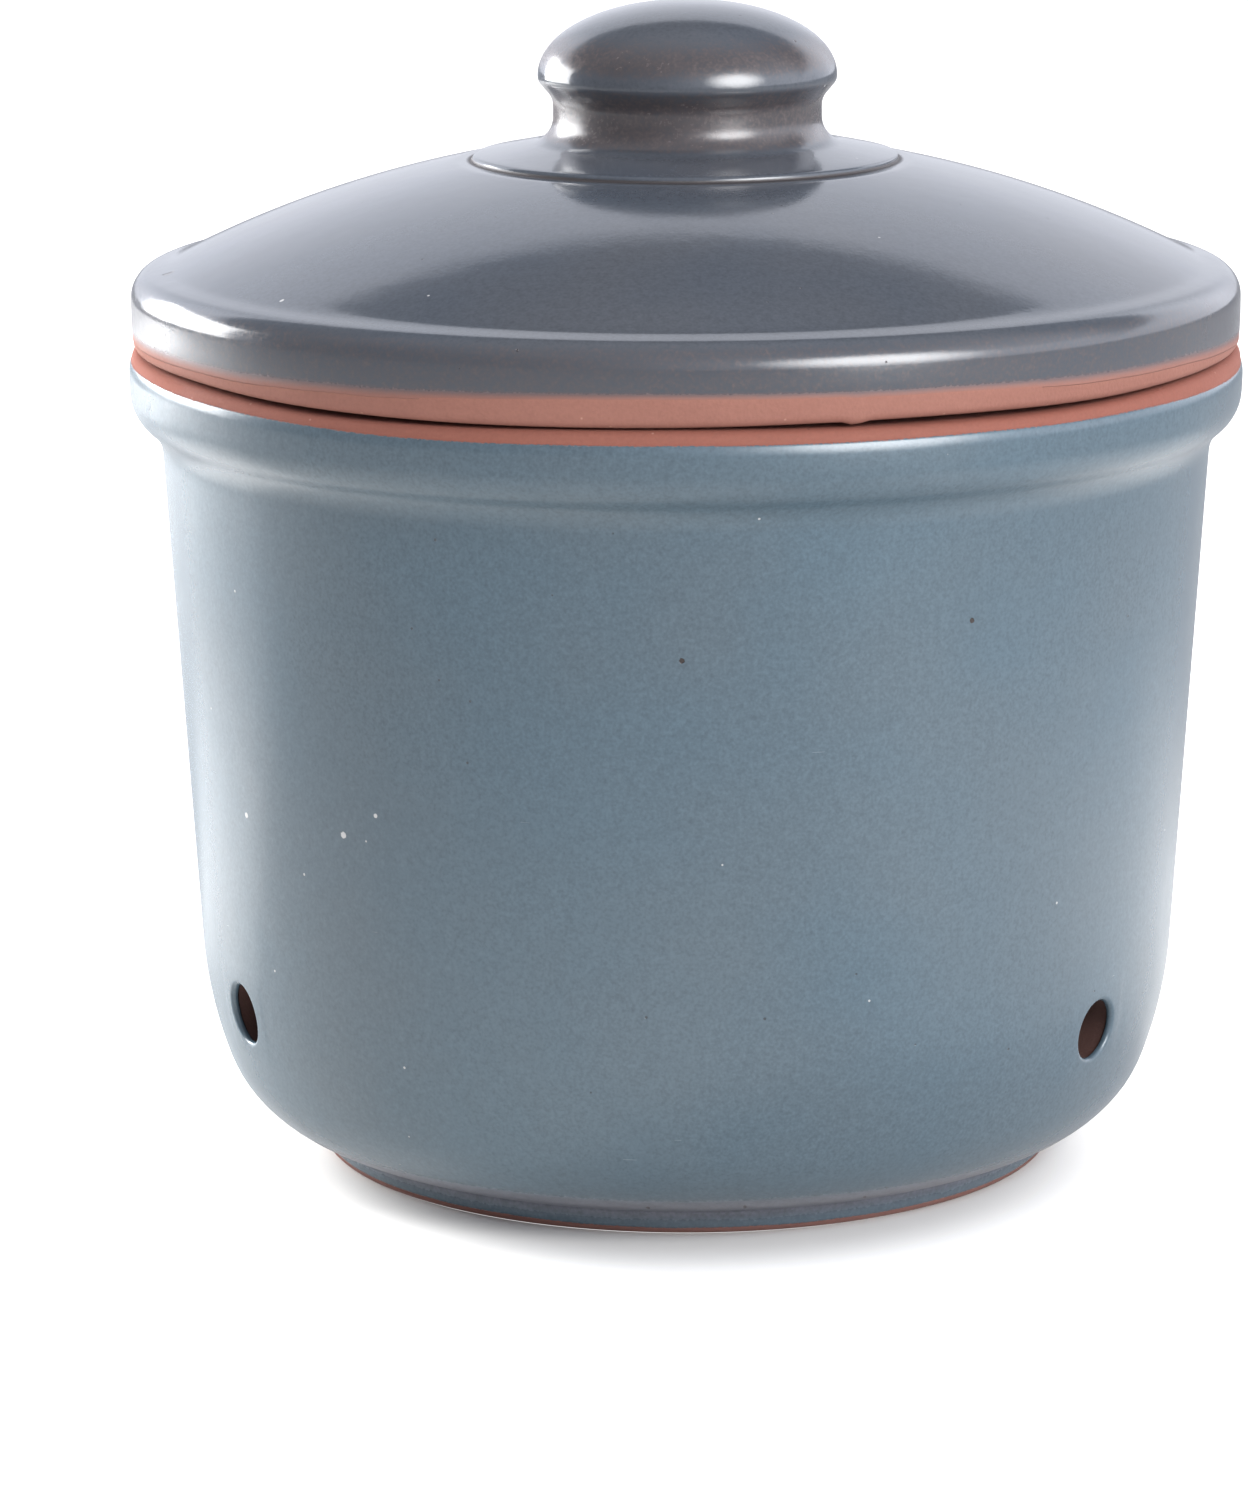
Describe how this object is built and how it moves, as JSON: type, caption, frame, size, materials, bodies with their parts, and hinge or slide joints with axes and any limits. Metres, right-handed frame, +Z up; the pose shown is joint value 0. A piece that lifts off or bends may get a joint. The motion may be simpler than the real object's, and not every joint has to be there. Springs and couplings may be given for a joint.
{
  "type": "garlic keeper",
  "caption": "Round earthenware garlic keeper: a glazed pot with vent holes low in its wall, and a domed lift-off lid with a knob.",
  "frame": {"origin": "centre of the foot ring, on the surface that the pot stands on", "axes": "+Z up along the axis that pot and lid are turned about; +Y towards the vent hole at the back, so the two others face front left and front right of -Y"},
  "size_m": [0.136, 0.136, 0.1415],
  "materials": {
    "earthenware": "bare fired terracotta, matte and fine-grained",
    "pot_glaze": "blue-grey glaze, satin to glossy, finely speckled",
    "lid_glaze": "slate-grey glaze, satin to glossy, finely speckled"
  },
  "bodies": {
    "pot": {"pot_body": "earthenware", "pot_glaze": "pot_glaze"},
    "lid": {"lid_body": "earthenware", "lid_knob": "earthenware", "lid_glaze": "lid_glaze"}
  },
  "joints": [
    {"name": "lid_lift", "type": "slide", "parent": "pot", "child": "lid", "axis": [0, 0, 1], "range_m": [0, 0.12]}
  ]
}
